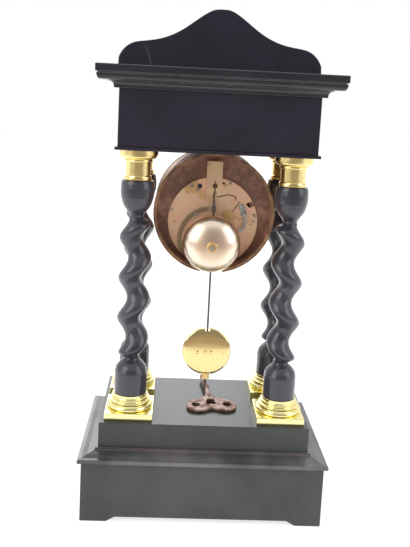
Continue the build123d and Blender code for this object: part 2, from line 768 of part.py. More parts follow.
def bell_nut():
    profile = [(bell_post_r + slide_gap, bell_apex_y + 0.1), (5.2, bell_apex_y + 0.1), (5.2, bell_apex_y + 0.9),
               (4.4, bell_apex_y + 1.3), (bell_post_r + slide_gap, bell_apex_y + 1.3)]
    washer = turned_y(profile, bell_x, bell_z)
    nut = Pos(bell_x, bell_apex_y + 1.4, bell_z) * Rot(X=-90) * hex_nut(4.4, 3.0)
    return [washer, nut - rod_y(bell_x, bell_z, bell_post_r + slide_gap, 50, 70)]


def barrel(spot):
    """A toothed spring barrel with its cover."""
    phase = barrel_phase
    shape = gear(barrel_teeth, barrel_module, great_wheel_t, phase, barrel_front + great_wheel_t, spot)
    shape += rod_y(spot[0], spot[1], barrel_drum_r, barrel_front, barrel_back)
    shape -= rod_y(spot[0], spot[1], barrel_drum_r - barrel_wall, barrel_front + 1.5, barrel_back - 1.5)
    return shape - rod_y(spot[0], spot[1], 2.0 + running_gap, -40, 10)


def mainspring(spot):
    """A coiled strip between the barrel wall and the arbor."""
    outside = []
    inside = []
    turns = 7
    r_start = 5.0
    r_end = barrel_drum_r - barrel_wall - 0.3
    for i in range(turns * 24 + 1):
        a = 2 * math.pi * i / 24
        r = r_start + (r_end - r_start) * i / (turns * 24)
        outside.append((r * math.cos(a), r * math.sin(a), 0))
        inside.append(((r - 0.4) * math.cos(a), (r - 0.4) * math.sin(a), 0))
    strip = extrude(make_face(Polyline(*(outside + list(reversed(inside))), close=True)), amount=16.0)
    return Pos(spot[0], barrel_back - 2.5, spot[1]) * Rot(X=90) * strip


def winding_arbor(spot):
    """The arbor inside a barrel, squared at the front for the key, with its ratchet wheel."""
    profile = [(0, 13.8), (1.5, 13.8), (1.5, barrel_back + 1.0), (2.0, barrel_back + 1.0), (2.0, -27.0)]
    profile += [(2.2, -27.0), (2.2, -33.0), (0, -33.0)]
    shape = turned_y(profile, spot[0], spot[1])
    shape += block(spot[0] - 1.7, spot[0] + 1.7, -45.0, -32.0, spot[1] - 1.7, spot[1] + 1.7)
    shape += rod_y(spot[0], spot[1], 4.2, -20.0, -8.0)
    points = []
    for i in range(20):
        for r, share in [(5.2, 0.0), (6.2, 0.85)]:
            a = 2 * math.pi * (i + share) / 20
            points.append((r * math.cos(a), r * math.sin(a), 0))
    ratchet = extrude(make_face(Polyline(*points, close=True)), amount=1.4)
    return shape + Pos(spot[0], -30.4, spot[1]) * Rot(X=90) * ratchet


def arbor(spot, y0, y1, thick=arbor_r, thin=pivot_r):
    """A steel arbor with a thinner pivot at each end."""
    shape = rod_y(spot[0], spot[1], thick, plate_inner_front + 0.3, plate_inner_back - 0.3)
    return shape + rod_y(spot[0], spot[1], thin, y0, y1)


def intermediate_wheel():
    shape = arbor(inter_spot, front_face + 0.2, back_face - 0.2)
    shape += gear(inter_pinion, barrel_module, 5.0, inter_pinion_phase, -21.3, inter_spot)
    return shape + gear(inter_teeth, inter_module, 1.5, inter_phase, 0.0, inter_spot, spokes=4)


def centre_wheel():
    """The centre arbor with its wheel and pinion, and the cannon pinion that carries the minute hand."""
    shape = rod_y(0, drum_z, centre_arbor_r, -49.0 + 1.2, plate_inner_back - 0.3)
    shape += rod_y(0, drum_z, pivot_r, 5, back_face - 0.2)
    shape += gear(centre_pinion, inter_module, 3.4, centre_pinion_phase, 1.0, centre_spot)
    shape += gear(centre_teeth, centre_module, wheel_t, centre_phase, 3.3, centre_spot, spokes=4)
    cannon = gear(cannon_teeth, cannon_module, 2.6, cannon_phase, -31.2, centre_spot)
    cannon += rod_y(0, drum_z, 2.0, -47.0, -31.2)
    cannon -= rod_y(0, drum_z, centre_arbor_r + 0.02, -60, 0)
    return [shape, cannon]


def third_wheel():
    shape = arbor(third_spot, front_face + 0.2, back_face - 0.2, thick=0.7)
    shape += gear(third_pinion, centre_module, 2.4, third_pinion_phase, 4.0, third_spot)
    return shape + gear(third_teeth, third_module, wheel_t, third_phase, 6.2, third_spot, spokes=4)


def escape_wheel():
    shape = arbor(escape_spot, front_face + 0.2, back_face + 1.2, thick=0.65)
    shape += gear(escape_pinion, third_module, 2.4, escape_pinion_phase, 7.0, escape_spot)
    points = []
    for i in range(escape_teeth):
        for r, share in [(escape_r - 1.5, 0.0), (escape_r, 0.62), (escape_r, 0.70), (escape_r - 1.5, 0.85)]:
            a = 2 * math.pi * (i + share) / escape_teeth
            points.append((r * math.cos(a), r * math.sin(a), 0))
    wheel = extrude(make_face(Polyline(*points, close=True)), amount=0.8)
    window = Cylinder(6.0, 4) - Cylinder(2.0, 4)
    for i in range(4):
        window -= Rot(Z=i * 90) * Pos(3, 0, 0) * Box(6, 1.0, 4)
    wheel -= window
    return shape + Pos(escape_spot[0], 9.6, escape_spot[1]) * Rot(X=90) * wheel


def anchor_and_crutch():
    """The anchor over the escape wheel, its arbor, and the crutch that embraces the pendulum rod."""
    shape = arbor(anchor_spot, front_face + 0.2, 21.2, thick=0.9)
    shape += rod_y(0, pendulum_z, 0.9, 0, 19.3)
    shape += rod_y(0, pendulum_z, 1.9, 14.8, 18.6)
    aim = heading(anchor_spot, escape_spot)
    reach = math.dist(anchor_spot, escape_spot)
    clear = escape_r + anchor_clear
    points = []
    outer = []
    for i in range(13):
        a = math.radians(180 - 52 + 104 * i / 12)
        points.append((reach + clear * math.cos(a), clear * math.sin(a), 0))
        grow = 1.2 + 2.0 * math.cos(math.pi * (i - 6) / 12) ** 2
        outer.append((reach + (clear + grow) * math.cos(a), (clear + grow) * math.sin(a), 0))
    face = make_face(Polyline(*(points + list(reversed(outer))), close=True))
    anchor = extrude(face, amount=1.2)
    anchor += Pos(0.6, 0, 0.6) * Box(2.8, 2.6, 1.2)
    shape += Pos(0, 9.8, pendulum_z) * Rot(X=90) * Rot(Z=aim) * anchor
    shape += rod_z(0, 17.4, 0.9, 289.0, pendulum_z)
    shape += block(-3.4, 3.4, 16.6, 18.4, 288.0, 290.4)
    for side in (-1, 1):
        x = side * (rod_r + 0.3)
        shape += block(x, x + side * 1.4, 18.0, pendulum_y + 2.2, 288.2, 290.2)
    return shape


def motion_wheels():
    """The minute wheel on its stud, and the hour wheel on its pipe."""
    minute = gear(minute_teeth, cannon_module, 1.3, minute_phase, -32.0, minute_spot, spokes=4)
    minute += gear(minute_pinion, hour_module, 5.2, minute_pinion_phase, -33.2, minute_spot)
    minute += rod_y(minute_spot[0], minute_spot[1], 0.9, front_face - 1.5, -39.0)
    minute += rod_y(minute_spot[0], minute_spot[1], 0.9, front_face + 0.1, front_face - 2)
    hour = gear(hour_teeth, hour_module, 1.3, hour_phase, -36.6, centre_spot, spokes=0)
    hour += rod_y(0, drum_z, 2.9, -45.4, -36.6)
    return minute, hour - rod_y(0, drum_z, 2.0 + running_gap, -60, 0)


def tapered_hand(length, half_w, ring_r, ring_at, y_back, bore, tail):
    """A pierced hand: a shaft with one open ring near its tip."""
    thickness = 0.6
    blade = plate_outline([(-half_w, 0), (-half_w * 0.7, ring_at), (-0.25, length), (0.25, length),
                           (half_w * 0.7, ring_at), (half_w, 0)], y_back, thickness)
    blade += rod_y(0, ring_at, ring_r, y_back - thickness, y_back)
    blade -= rod_y(0, ring_at, ring_r - 0.9, y_back - 5, y_back + 5)
    blade += rod_y(0, 0, bore + 1.7, y_back - thickness, y_back)
    if tail:
        blade += plate_outline([(-half_w * 0.8, -tail), (-half_w, 0), (half_w, 0), (half_w * 0.8, -tail)],
                               y_back, thickness)
    blade -= rod_y(0, 0, bore, y_back - 5, y_back + 5)
    return blade


def hands():
    """Hour hand to ten, minute hand to two, turned about the centre."""
    hour = tapered_hand(25.0, 1.3, 3.6, 16.5, -45.4, 2.9 - 0.6, 0)
    hour = Pos(0, 0, drum_z) * Rot(Y=-55) * hour
    minute = tapered_hand(41.0, 1.0, 3.0, 31.0, -47.0, centre_arbor_r + running_gap, 9)
    minute = Pos(0, 0, drum_z) * Rot(Y=60) * minute
    return hour, minute


def strike_intermediate():
    """The second strike wheel with the count disc on its rear end."""
    shape = arbor(strike_inter_spot, front_face + 0.2, 5, thick=0.9)
    shape += rod_y(strike_inter_spot[0], strike_inter_spot[1], 1.0, 5, 17.2)
    shape += gear(strike_inter_pinion, barrel_module, 5.0, strike_pinion_phase, -21.3, strike_inter_spot)
    shape += gear(strike_inter_teeth, strike_inter_module, wheel_t, strike_inter_phase, 6.2, strike_inter_spot,
                  spokes=4)
    disc = rod_y(strike_inter_spot[0], strike_inter_spot[1], count_disc_r, 14.8, 16.2)
    for i in range(6):
        x, z = polar(strike_inter_spot, count_disc_r, 20 + i * i * 9)
        disc -= rod_y(x, z, 0.7, 14, 18)
    return [shape, disc - rod_y(strike_inter_spot[0], strike_inter_spot[1], 1.02, 10, 20)]


def pin_wheel():
    shape = arbor(pin_spot, front_face + 0.2, back_face - 0.2, thick=0.7)
    shape += gear(pin_pinion, strike_inter_module, 2.4, pin_pinion_phase, 6.8, pin_spot)
    shape += gear(pin_teeth, pin_module, wheel_t, pin_phase, 0.6, pin_spot, spokes=4)
    for i in range(8):
        x, z = polar(pin_spot, 8.2, i * 45)
        shape += rod_y(x, z, 0.4, 0.3, 3.2)
    return shape


def fly():
    """The air brake of the strike train."""
    shape = arbor(fly_spot, front_face + 0.2, back_face - 0.2, thick=0.7)
    shape += gear(fly_pinion, pin_module, 2.4, fly_pinion_phase, 1.2, fly_spot)
    blade = Pos(fly_spot[0], -12.0, fly_spot[1]) * Rot(Y=25) * Box(2 * fly_blade_r, 12.0, 0.5)
    return shape + blade + rod_y(fly_spot[0], fly_spot[1], 1.3, -18.5, -5.5)


def hammer():
    """The hammer arbor, its curved arm and the head inside the mouth of the bell."""
    x, z = hammer_spot
    head_x, head_z = polar((bell_x, bell_z), hammer_head_out, 180 - hammer_head_rise)
    shape = rod_y(x, z, hammer_arbor_r, plate_inner_back - 0.8, 19.4)
    shape += rod_y(x, z, hammer_arbor_r - 0.1, plate_inner_front + 0.3, plate_inner_back - 0.6)
    shape += rod_y(x, z, 0.7, front_face + 0.2, -20)
    shape += rod_y(x, z, 2.4, 16.4, 19.4)
    arm = [(x - 1.3, z), (-34.4, 293.9), (-33.0, 288.0), (-29.4, 283.2), (-24.4, 280.0),
           (head_x - 0.4, head_z - 1.5), (head_x + 0.6, head_z + 1.2), (-24.0, 282.2), (-28.0, 285.0),
           (-31.0, 289.4), (-32.2, 294.0), (x + 1.3, z)]
    shape += plate_outline(arm, 18.6, 1.4)
    shape += rod_y(head_x, head_z, 1.1, 17.4, bell_mouth_y + 4.4)
    return shape + rod_y(head_x, head_z, hammer_head_r, bell_mouth_y + 1.1, bell_mouth_y + 4.1)


def suspension_spring():
    """The thin strip that the pendulum hangs from, with a brass chop and cross pin at the top."""
    strip = block(-0.15, 0.15, pendulum_y - 2.2, pendulum_y + 2.2, 311.0, 330.0)
    strip += rod_y(0, 329.2, 0.9, pendulum_y - 3.0, pendulum_y + 3.0)
    return strip + block(-0.9, 0.9, pendulum_y - 2.6, pendulum_y + 2.6, 309.5, 315.0)


def pendulum_rod():
    shape = rod_z(0, pendulum_y, rod_r, 140.0, 311.0)
    shape += rod_z(0, pendulum_y, thread_r, rod_foot, 142.0)
    hook = rod_z(0, pendulum_y, 2.1, 303.5, 309.3)
    return shape.cut(block(-3, 3, 20, 30, 309.4, 330)) + hook


def pendulum_bob():
    """The gilt lens with its slot for the rod and its notch for the nut."""
    profile = []
    steps = 16
    for i in range(steps + 1):
        a = math.pi / 2 * i / steps
        profile.append((bob_r * math.sin(a), bob_half_t * (0.24 + 0.76 * math.cos(a))))
    back = [(r, -y) for r, y in reversed(profile)]
    shape = Pos(0, pendulum_y, 0) * turned_y(profile + back, 0, bob_z)
    shape -= rod_z(0, pendulum_y, thread_r + slide_gap, bob_z - 30, bob_z + 30)
    shape -= block(-2.5, 2.5, pendulum_y - 2.6, pendulum_y + 8, bob_z + bob_r - 2.6, bob_z + bob_r + 2)
    notch_top = nut_bottom + nut_h + 0.3
    return shape - block(-4.6, 4.6, pendulum_y - 6, pendulum_y + 6, 130.0, notch_top)


def rating_nut():
    shape = extrude(RegularPolygon(nut_r, 16), amount=nut_h)
    shape = Pos(0, pendulum_y, nut_bottom) * shape
    return shape - rod_z(0, pendulum_y, thread_r + running_gap, 120, 140)


def bezel_frame():
    """The fixed ring on the front of the drum, with two hinge knuckles."""
    tube_in = drum_r - drum_wall
    profile = [(bezel_in_r, drum_front), (dial_r + 0.2, drum_front), (dial_r + 0.2, -38.0), (tube_in - 0.1, -38.0),
               (tube_in - 0.1, drum_front), (rim_r, drum_front), (rim_r, bezel_front + 0.5),
               (rim_r - 0.5, bezel_front), (bezel_in_r + 0.4, bezel_front), (bezel_in_r, bezel_front + 0.4)]
    shape = turned_y(profile, 0, drum_z)
    for side in (-1, 1):
        z = drum_z + side * 8.5
        lug = block(hinge_x, -58.0, hinge_y, bezel_front + 2.2, z - 2.5, z + 2.5)
        lug -= rod_y(0, drum_z, bezel_in_r + 3, -60, -40)
        lug -= rod_y(0, drum_z, rim_r - 0.3, -60, bezel_front + 0.1)
        shape += lug + rod_z(hinge_x, hinge_y, knuckle_r, z - 2.5, z + 2.5)
    shape -= rod_z(hinge_x, hinge_y, hinge_pin_r + 0.02, drum_z - 15, drum_z + 15)
    pin = rod_z(hinge_x, hinge_y, hinge_pin_r, drum_z - 11.4, drum_z + 11.4)
    return [shape, pin]


def bezel_door():
    """The hinged ring that holds the glass."""
    profile = [(door_in_r, door_back), (rim_r - 1.4, door_back), (rim_r - 0.7, door_back - 0.6)]
    profile += [(rim_r - 0.7, -48.6), (rim_r - 1.2, -49.4)]
    profile += quarter(rim_r - 1.6, -49.4, rim_r - 4.6, door_front)
    profile += [(rim_r - 5.6, door_front), (rim_r - 6.0, door_front + 0.6), (door_in_r + 0.8, -51.2)]
    profile += [(door_in_r, -50.9), (door_in_r, glass_back - glass_t - 0.1), (glass_r + 0.2, glass_back - glass_t - 0.1)]
    profile += [(glass_r + 0.2, glass_back + 0.1), (door_in_r, glass_back + 0.1)]
    shape = turned_y(profile, 0, drum_z)
    z = drum_z
    leaf = block(hinge_x, -57.0, hinge_y - 0.8, hinge_y + 0.8, z - 5.6, z + 5.6)
    leaf -= rod_y(0, drum_z, rim_r - 3.0, -60, -40)
    shape += leaf + rod_z(hinge_x, hinge_y, knuckle_r, z - 5.6, z + 5.6)
    shape += turned_y([(0, -54.5), (1.0, -54.5), (1.5, -53.6), (0.8, -52.6), (0.8, -50.5), (0, -50.5)], 55.6, drum_z)
    return shape - rod_z(hinge_x, hinge_y, hinge_pin_r + running_gap, z - 20, z + 20)


def bezel_glass():
    return rod_y(0, drum_z, glass_r, glass_back - glass_t, glass_back)


def dial():
    shape = rod_y(0, drum_z, dial_r, drum_front, drum_front + dial_t)
    shape -= rod_y(0, drum_z, 3.3, -60, 0)
    for x, z in (going_barrel_spot, strike_barrel_spot):
        shape -= rod_y(x, z, 3.6, -60, 0)
    return shape


def winding_key():
    """A butterfly key lying on the plinth."""
    half = [(3.0, 0.0), (4.4, 4.0), (9.5, 9.6), (17.5, 13.7), (24.0, 19.0), (26.0, 27.5), (22.6, 35.4),
            (15.3, key_bow_len), (6.0, 36.2), (0.0, 33.3)]
    right = [Vector(x, key_neck + y, 0) for x, y in half]
    left = [Vector(-x, key_neck + y, 0) for x, y in reversed(half)]
    outline = Curve() + [Spline(*(right + left[1:])), Line(left[-1], right[0])]
    bow = extrude(make_face(outline), amount=key_t / 2, both=True)
    bow = fillet(bow.faces().sort_by(Axis.Z)[-1].edges() + bow.faces().sort_by(Axis.Z)[0].edges(), 0.9)
    for x, y, r in [(16.3, 25.6, 4.6), (-16.3, 25.6, 4.6), (0, 17.6, 4.6), (-2.6, 22.0, 3.2), (2.6, 22.0, 3.2)]:
        bow -= Pos(x, key_neck + y, 0) * Cylinder(r, 10)
    ring_r = key_barrel_r + key_ring
    stem = [(0, 0), (key_barrel_r, 0), (key_barrel_r, key_ring_y - 1.6), (ring_r, key_ring_y - 1.0)]
    stem += [(ring_r, key_ring_y + 1.0), (key_barrel_r - 0.2, key_ring_y + 1.6)]
    stem += [(key_barrel_r - 0.2, key_neck - 3), (2.6, key_neck + 4), (0, key_neck + 4)]
    stem = Rot(X=-90) * turned(stem)
    stem -= Pos(0, 8, 0) * Box(key_square, 18, key_square)
    drop = ring_r - key_t / 2
    tilt = math.degrees(math.atan2(drop, key_neck + key_bow_len - key_ring_y))
    end_height = ring_r + key_ring_y * math.tan(math.radians(tilt))
    shape = Rot(X=-tilt) * (bow + stem)
    return Pos(key_end[0], key_end[1], plinth_top + end_height + key_lift) * Rot(Z=key_turn) * shape


def save(name, shape):
    pieces = shape if isinstance(shape, list) else [shape]
    solids = []
    for piece in pieces:
        solids.extend(piece.solids())
    export_step(Compound(children=solids), "parts/" + name + ".step")
    size = Compound(children=solids).bounding_box()
    print(name, len(solids), [round(v, 1) for v in (*size.min, *size.max)])


os.makedirs("parts", exist_ok=True)

front_board, rear_board = base_boards()
save("base_front_board", front_board)
save("base_rear_board", rear_board)
side_boards = base_side_boards()
for nail_x, nail_z in nail_spots:
    hole = rod_y(nail_x, nail_z, nail_shank_r, base_d / 2 - nail_len - 1, base_d / 2)
    side_boards = [piece - hole for piece in side_boards]
save("base_side_boards", side_boards)
save("base_moulding", base_moulding())
save("plinth_board", drill_for_rods(board(-plinth_w / 2, plinth_w / 2, -plinth_d / 2, plinth_d / 2,
                                          moulding_top, plinth_top)))
foot_piece = column_base()
capital_piece = column_capital()
right_hand_shaft = shaft_a()
left_hand_shaft = mirror(right_hand_shaft, about=Plane.YZ)
save("column_bases", [Pos(x, y, 0) * foot_piece for x, y in column_spots.values()])
save("column_capitals", [Pos(x, y, 0) * capital_piece for x, y in column_spots.values()])
for place, (col_x, col_y) in column_spots.items():
    same_sign = col_x * col_y > 0
    save("column_shaft_" + place, Pos(col_x, col_y, 0) * (right_hand_shaft if same_sign else left_hand_shaft))
save("case_bolts", case_bolts())
save("soffit_board", soffit_board())
frieze_front, frieze_rear, frieze_sides = frieze_boards()
save("frieze_front_board", frieze_front)
save("frieze_rear_board", frieze_rear)
save("frieze_side_boards", frieze_sides)
save("drum_hanger_board", hanger_board())
save("bed_moulding", bed_moulding())
save("cornice_board", cornice_board())
save("crest_board", crest_board())
save("wood_pins", wood_pins())
save("drum_case", drum_case())
save("drum_rear_rim", drum_rear_rim())
save("movement_seat_ring", seat_ring())
front_plate, back_plate = plate_pair()
front_plate -= rod_y(minute_spot[0], minute_spot[1], 0.9 + running_gap, front_face - 1, front_face + 1.4)
save("front_plate", front_plate)
save("back_plate", back_plate)
save("plate_pillars", plate_pillars())
save("plate_screws", plate_screws())
save("escape_bridge", escape_bridge())
save("hammer_cock", hammer_cock())
save("suspension_cock", suspension_cock())
save("bell_stand", bell_stand())
save("bell", bell())
save("bell_nut", bell_nut())
save("going_barrel", [barrel(going_barrel_spot), mainspring(going_barrel_spot)])
save("strike_barrel", [barrel(strike_barrel_spot), mainspring(strike_barrel_spot)])
save("going_winding_arbor", winding_arbor(going_barrel_spot))
save("strike_winding_arbor", winding_arbor(strike_barrel_spot))
save("intermediate_wheel", intermediate_wheel())
save("centre_wheel", centre_wheel())
save("third_wheel", third_wheel())
save("escape_wheel", escape_wheel())
save("anchor_crutch", anchor_and_crutch())
minute_wheel, hour_wheel = motion_wheels()
save("minute_wheel", minute_wheel)
save("hour_wheel", hour_wheel)
hour_hand, minute_hand = hands()
save("hour_hand", hour_hand)
save("minute_hand", minute_hand)
save("strike_intermediate", strike_intermediate())
save("pin_wheel", pin_wheel())
save("fly", fly())
save("hammer", hammer())
save("suspension_spring", suspension_spring())
save("pendulum_rod", pendulum_rod())
save("pendulum_bob", pendulum_bob())
save("rating_nut", rating_nut())
save("bezel_frame", bezel_frame())
save("bezel_door", bezel_door())
save("bezel_glass", bezel_glass())
save("dial", dial())
save("winding_key", winding_key())
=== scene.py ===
import math

import bpy
from mathutils import Matrix, Vector


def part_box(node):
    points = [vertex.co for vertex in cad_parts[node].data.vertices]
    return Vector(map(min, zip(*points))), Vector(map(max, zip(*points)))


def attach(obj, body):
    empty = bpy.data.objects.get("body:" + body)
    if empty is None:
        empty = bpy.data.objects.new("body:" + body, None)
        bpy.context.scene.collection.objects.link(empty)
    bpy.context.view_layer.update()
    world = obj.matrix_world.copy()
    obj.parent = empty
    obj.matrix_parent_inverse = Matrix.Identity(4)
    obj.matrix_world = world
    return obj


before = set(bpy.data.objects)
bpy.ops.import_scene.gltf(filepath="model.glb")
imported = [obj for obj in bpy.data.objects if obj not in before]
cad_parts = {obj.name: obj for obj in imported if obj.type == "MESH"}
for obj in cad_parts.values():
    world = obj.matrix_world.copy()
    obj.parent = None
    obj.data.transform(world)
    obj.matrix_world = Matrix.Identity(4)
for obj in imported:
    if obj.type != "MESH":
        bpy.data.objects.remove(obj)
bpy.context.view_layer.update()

# The camera stands behind the clock, a little above it, where the photograph was taken.
# Its place, lens and lean were fitted to the corners of the case.
camera_at = Vector((0.0399, 0.7354, 0.4120))
camera_yaw = -0.0436
camera_pitch = 0.1432
camera_roll = 0.0502
focal_px = 726.6
frame_w_px = 410
frame_h_px = 547
centre_px = (205.0, 205.0)
camera_data = bpy.data.cameras.new("camera")
camera = bpy.data.objects.new("camera", camera_data)
bpy.context.scene.collection.objects.link(camera)
camera_data.sensor_fit = "VERTICAL"
camera_data.sensor_height = 24.0
camera_data.lens = focal_px / frame_h_px * camera_data.sensor_height
camera_data.shift_x = (frame_w_px / 2 - centre_px[0]) / frame_h_px
camera_data.shift_y = (centre_px[1] - frame_h_px / 2) / frame_h_px
camera_data.clip_start = 0.01
right = Vector((-math.cos(camera_yaw), -math.sin(camera_yaw), 0.0))
ahead = Vector((math.sin(camera_yaw) * math.cos(camera_pitch),
                -math.cos(camera_yaw) * math.cos(camera_pitch), -math.sin(camera_pitch)))
upward = right.cross(ahead)
lean_right = right * math.cos(camera_roll) + upward * math.sin(camera_roll)
lean_up = upward * math.cos(camera_roll) - right * math.sin(camera_roll)
camera.matrix_world = Matrix((lean_right, lean_up, -ahead)).transposed().to_4x4()
camera.matrix_world.translation = camera_at
scene = bpy.context.scene
scene.camera = camera
scene.view_settings.view_transform = "Standard"


# Every finish is made of shader nodes. A Socket takes part in sums, and a Finish
# holds one material with its surface shader.
class Socket:
    def __init__(self, finish, socket):
        self.finish = finish
        self.socket = socket

    def sum(self, operation, first, second):
        return self.finish.node("ShaderNodeMath", {"operation": operation}, {0: first, 1: second})

    def __add__(self, other):
        return self.sum("ADD", self, other)

    def __radd__(self, other):
        return self.sum("ADD", other, self)

    def __sub__(self, other):
        return self.sum("SUBTRACT", self, other)

    def __rsub__(self, other):
        return self.sum("SUBTRACT", other, self)

    def __mul__(self, other):
        return self.sum("MULTIPLY", self, other)

    def __rmul__(self, other):
        return self.sum("MULTIPLY", other, self)

    def __truediv__(self, other):
        return self.sum("DIVIDE", self, other)

    def __pow__(self, other):
        return self.sum("POWER", self, other)

    def step(self, low, high):
        """0 under low, 1 over high, smooth between them."""
        return self.finish.node("ShaderNodeMapRange", {"interpolation_type": "SMOOTHSTEP"},
                                {"Value": self, "From Min": low, "From Max": high})


class Finish:
    def __init__(self, name, tree=None):
        if tree is None:
            self.material = bpy.data.materials.new(name)
            self.material.use_nodes = True
            tree = self.material.node_tree
            self.shader = tree.nodes["Principled BSDF"]
        self.tree = tree

    def node(self, kind, settings, values, out=0):
        made = self.tree.nodes.new(kind)
        for key, value in settings.items():
            if key == "stops":
                ramp = made.color_ramp.elements
                while len(ramp) < len(value):
                    ramp.new(0.5)
                for element, (position, colour) in zip(ramp, value):
                    element.position = position
                    element.color = (*colour, 1.0)
            else:
                setattr(made, key, value)
        for key, value in values.items():
            self.join(made.inputs[key], value)
        return Socket(self, made.outputs[out])

    def join(self, target, value):
        if isinstance(value, Socket):
            self.tree.links.new(value.socket, target)
        elif isinstance(value, tuple) and len(value) == 3 and target.type == "RGBA":
            target.default_value = (*value, 1.0)
        else:
            target.default_value = value

    def surface(self, **values):
        for key, value in values.items():
            self.join(self.shader.inputs[key.replace("_", " ")], value)
        return self.material

    def place(self, scale=(1.0, 1.0, 1.0), turn=(0.0, 0.0, 0.0)):
        here = self.node("ShaderNodeTexCoord", {}, {}, "Object")
        return self.node("ShaderNodeMapping", {}, {"Vector": here, "Scale": scale, "Rotation": turn})

    def noise(self, scale, detail=4.0, stretch=(1.0, 1.0, 1.0), roughness=0.5):
        return self.node("ShaderNodeTexNoise", {},
                         {"Vector": self.place(stretch), "Scale": scale, "Detail": detail,
                          "Roughness": roughness}, "Fac")

    def mix(self, share, first, second):
        made = self.tree.nodes.new("ShaderNodeMix")
        made.data_type = "RGBA"
        self.join(made.inputs[0], share)
        self.join(made.inputs[6], first)
        self.join(made.inputs[7], second)
        return Socket(self, made.outputs[2])

    def bump(self, height, strength, distance):
        return self.node("ShaderNodeBump", {}, {"Height": height, "Strength": strength, "Distance": distance})

    def edges(self, radius):
        """1 on a sharp outer edge, 0 on a flat."""
        soft = self.node("ShaderNodeBevel", {"samples": 4}, {"Radius": radius})
        true = self.node("ShaderNodeNewGeometry", {}, {}, "Normal")
        likeness = self.node("ShaderNodeVectorMath", {"operation": "DOT_PRODUCT"},
                             {0: soft, 1: true}, "Value")
        return 1.0 - likeness


def dress(material, *names):
    """Gives CAD nodes a finish and smooth shading between their true edges."""
    for name in names:
        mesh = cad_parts[name].data
        mesh.materials.clear()
        mesh.materials.append(material)
        mesh.shade_smooth()
        mesh.set_sharp_from_angle(angle=math.radians(30.0))


def add_mesh(name, points, faces, material, body):
    mesh = bpy.data.meshes.new(name)
    mesh.from_pydata([tuple(p) for p in points], [], faces)
    mesh.validate()
    mesh.materials.append(material)
    mesh.shade_smooth()
    mesh.set_sharp_from_angle(angle=math.radians(35.0))
    piece = bpy.data.objects.new(name, mesh)
    scene.collection.objects.link(piece)
    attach(piece, body)


def add_wire(name, points, radius, material, body):
    """A thin round wire that bends smoothly through points."""
    curve = bpy.data.curves.new(name, "CURVE")
    curve.dimensions = "3D"
    curve.bevel_depth = radius
    curve.bevel_resolution = 3
    curve.use_fill_caps = True
    spline = curve.splines.new("NURBS")
    spline.points.add(len(points) - 1)
    for point, at in zip(spline.points, points):
        point.co = (*at, 1.0)
    spline.order_u = 3
    spline.use_endpoint_u = True
    spline.resolution_u = 8
    curve.materials.append(material)
    piece = bpy.data.objects.new(name, curve)
    scene.collection.objects.link(piece)
    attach(piece, body)


def add_turning(name, profile, spots, material, body, sides=48):
    """Rounds about lines along Y, from (radius, y) points, one at each (x, z) spot."""
    points = []
    faces = []
    for x, z in spots:
        first = len(points)
        for radius, y in profile:
            for side in range(sides):
                a = 2 * math.pi * side / sides
                points.append((x + radius * math.cos(a), y, z + radius * math.sin(a)))
        for row in range(len(profile) - 1):
            for side in range(sides):
                near = first + row * sides
                after = (side + 1) % sides
                faces.append((near + side, near + after, near + sides + after, near + sides + side))
    add_mesh(name, points, faces, material, body)


# The wooden case is pearwood stained black and polished. The polish has gone thin on the
# edges, where the brown wood shows, and it holds dust, fine scratches and a purple cast.
def black_polish(name, deep, pale, wear_and_crown_reflection, rough, along, wear, dust, coat=0.55, scratched=False):
    worn_edge = 0.0012
    finish = Finish(name)
    grain = finish.noise(60.0, 5.0, along)
    clouds = finish.noise(14.0, 3.0)
    specks = finish.noise(900.0, 2.0)
    rub = finish.noise(120.0, 6.0, roughness=0.7)
    edge = finish.edges(worn_edge)
    chips = (edge.step(0.10, 0.35) * rub.step(0.62 - wear * 0.3, 0.68 - wear * 0.22))
    scuffs = finish.noise(26.0, 8.0, (1.0, 1.0, 5.0), 0.75).step(0.72, 0.80) * 0.5
    tone = finish.mix(clouds.step(0.35, 0.7) * 0.8 + grain * 0.2, deep, pale)
    tone = finish.mix(specks.step(0.70, 0.76) * dust, tone, (0.30, 0.29, 0.27))
    tone = finish.mix(chips, tone, wear_and_crown_reflection)
    gloss = rough + grain * 0.10 + scuffs * 0.25 + clouds * 0.06
    height = grain * 0.5 + rub * 0.25 + specks * 0.15
    if scratched:
        scratch_x = 0.0705
        scratch_z = 0.4525
        scratch_half = 0.0105
        lean = 0.36
        bend = 9.0
        here = finish.node("ShaderNodeSeparateXYZ", {}, {"Vector": finish.place()})
        rise = Socket(finish, here.socket.node.outputs["Z"]) - scratch_z
        off = Socket(finish, here.socket.node.outputs["X"]) - scratch_x - rise * lean - rise * rise * bend
        length = 1.0 - (rise * rise).step((scratch_half * 0.8) ** 2, scratch_half ** 2)
        line = (1.0 - (off * off).step(0.00012 ** 2, 0.00055 ** 2)) * length
        tone = finish.mix(line * 0.45, tone, (0.20, 0.19, 0.20))
        height = height - line
    return finish.surface(Base_Color=tone, Roughness=gloss, Coat_Weight=coat, Coat_Roughness=0.10,
                          Specular_IOR_Level=0.45, Normal=finish.bump(height, 0.22, 0.0004))


